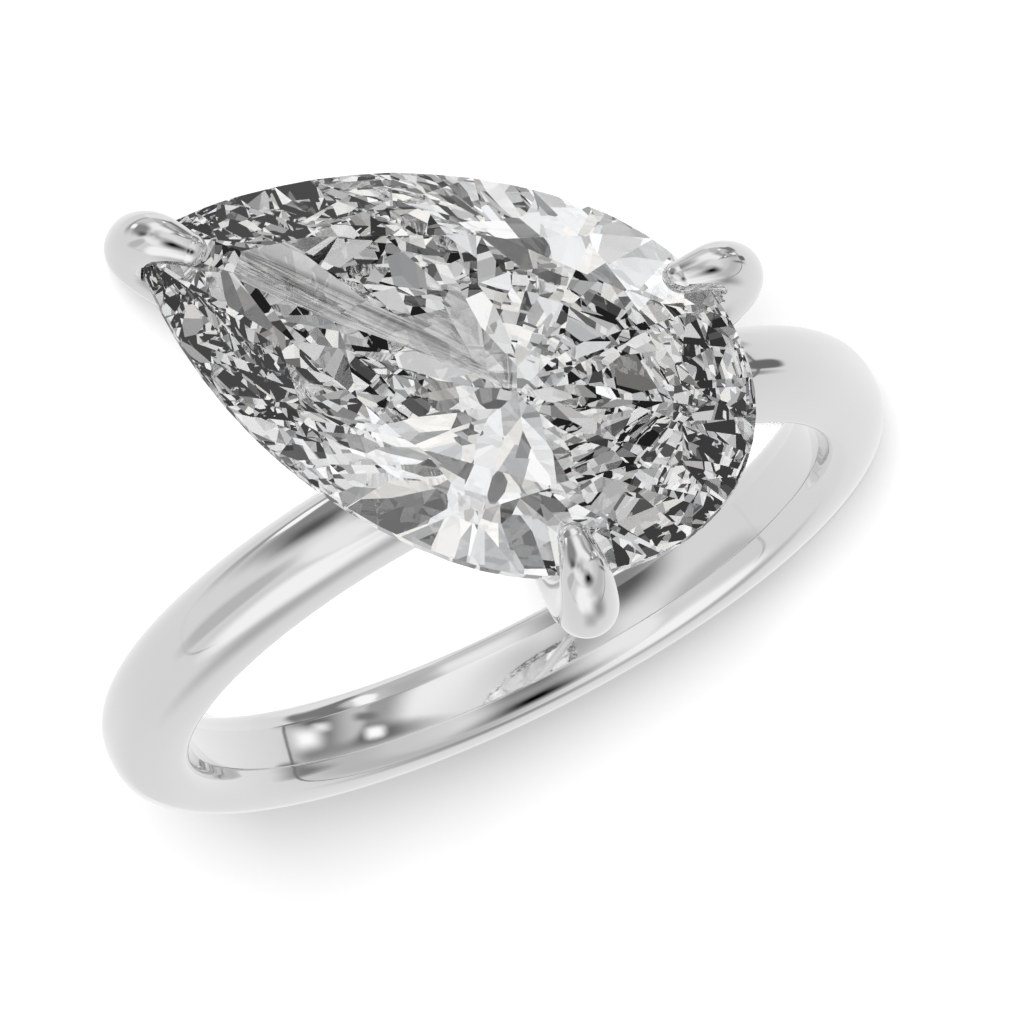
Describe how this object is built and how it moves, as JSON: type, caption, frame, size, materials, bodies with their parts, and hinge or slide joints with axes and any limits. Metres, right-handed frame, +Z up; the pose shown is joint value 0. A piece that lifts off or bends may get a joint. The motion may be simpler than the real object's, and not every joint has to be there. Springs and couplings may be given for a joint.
{
  "type": "pear cut ring",
  "caption": "Solitaire finger ring: a half-round white metal band with a large pear cut stone set diagonally across it, held by claw wires at its point and its round end.",
  "frame": {"origin": "centre of the footprint on the surface that the ring lies on: it rests on its side, on the claw at the stone's point, the edge of the stone's wing and the edge of the band", "axes": "+Z up from that surface; +Y along the longest extent, from the foot of the band towards the stone; +X across. The finger hole's axis leans out of +Z by the ring's resting tilt"},
  "size_m": [0.0198, 0.0256, 0.012],
  "materials": {
    "metal": "polished white metal",
    "stone": "faceted colourless diamond, polished"
  },
  "bodies": {
    "root": {"setting": "metal", "stone": "stone"}
  },
  "joints": []
}
